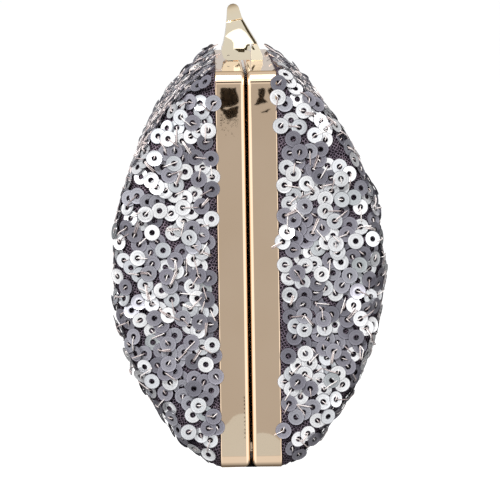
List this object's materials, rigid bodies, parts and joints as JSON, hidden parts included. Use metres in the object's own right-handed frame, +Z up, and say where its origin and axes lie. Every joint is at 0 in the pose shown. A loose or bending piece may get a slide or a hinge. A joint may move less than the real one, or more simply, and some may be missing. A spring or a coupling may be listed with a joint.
{
  "type": "hard-shell evening bag",
  "caption": "Hard-shell evening bag: two domed halves in sequinned cloth with gold frames, hinged at the base and shut by a lever clasp on top.",
  "frame": {"origin": "middle of the bag's base, on the plane where the two halves meet", "axes": "+X along the bag's length, +Y from the front half to the back half, +Z up"},
  "size_m": [0.18, 0.064, 0.1106],
  "materials": {
    "frame_gold": "polished champagne gold plate",
    "clasp_gold": "polished champagne gold plate",
    "hinge_gold": "gold plated",
    "steel": "nickel plated",
    "shell_board": "matt",
    "underlay_foam": "foam-backed cloth, matt",
    "sequin_cloth": "sequinned net, silver and grey",
    "lining_satin": "satin"
  },
  "bodies": {
    "front_half": {"front_frame": "frame_gold", "front_shell": "shell_board", "front_underlay": "underlay_foam", "front_sequin_cloth": "sequin_cloth", "front_lining": "lining_satin", "front_left_hinge_leaf": "hinge_gold", "front_right_hinge_leaf": "hinge_gold", "left_hinge_pin": "steel", "right_hinge_pin": "steel", "clasp_base": "clasp_gold", "clasp_base_screws": "steel", "clasp_spring": "steel"},
    "back_half": {"back_frame": "frame_gold", "back_shell": "shell_board", "back_underlay": "underlay_foam", "back_sequin_cloth": "sequin_cloth", "back_lining": "lining_satin", "slip_pocket": "lining_satin", "back_left_hinge_leaf": "hinge_gold", "back_right_hinge_leaf": "hinge_gold", "clasp_catch": "clasp_gold", "catch_rivets": "steel", "left_chain_eye": "frame_gold", "right_chain_eye": "frame_gold"},
    "lever": {"clasp_lever": "clasp_gold", "clasp_pin": "steel"}
  },
  "joints": [
    {"name": "bag_hinge", "type": "hinge", "parent": "front_half", "child": "back_half", "pos_m": [0, 0, 0.00135], "axis": [-1, 0, 0], "range_deg": [0, 90]},
    {"name": "clasp_pivot", "type": "hinge", "parent": "front_half", "child": "lever", "pos_m": [0, -0.0037, 0.0971], "axis": [1, 0, 0], "range_deg": [0, 25], "stiffness_Nm_per_rad": 0.02, "springref_deg": -20.05, "deforming": ["clasp_spring"]}
  ]
}
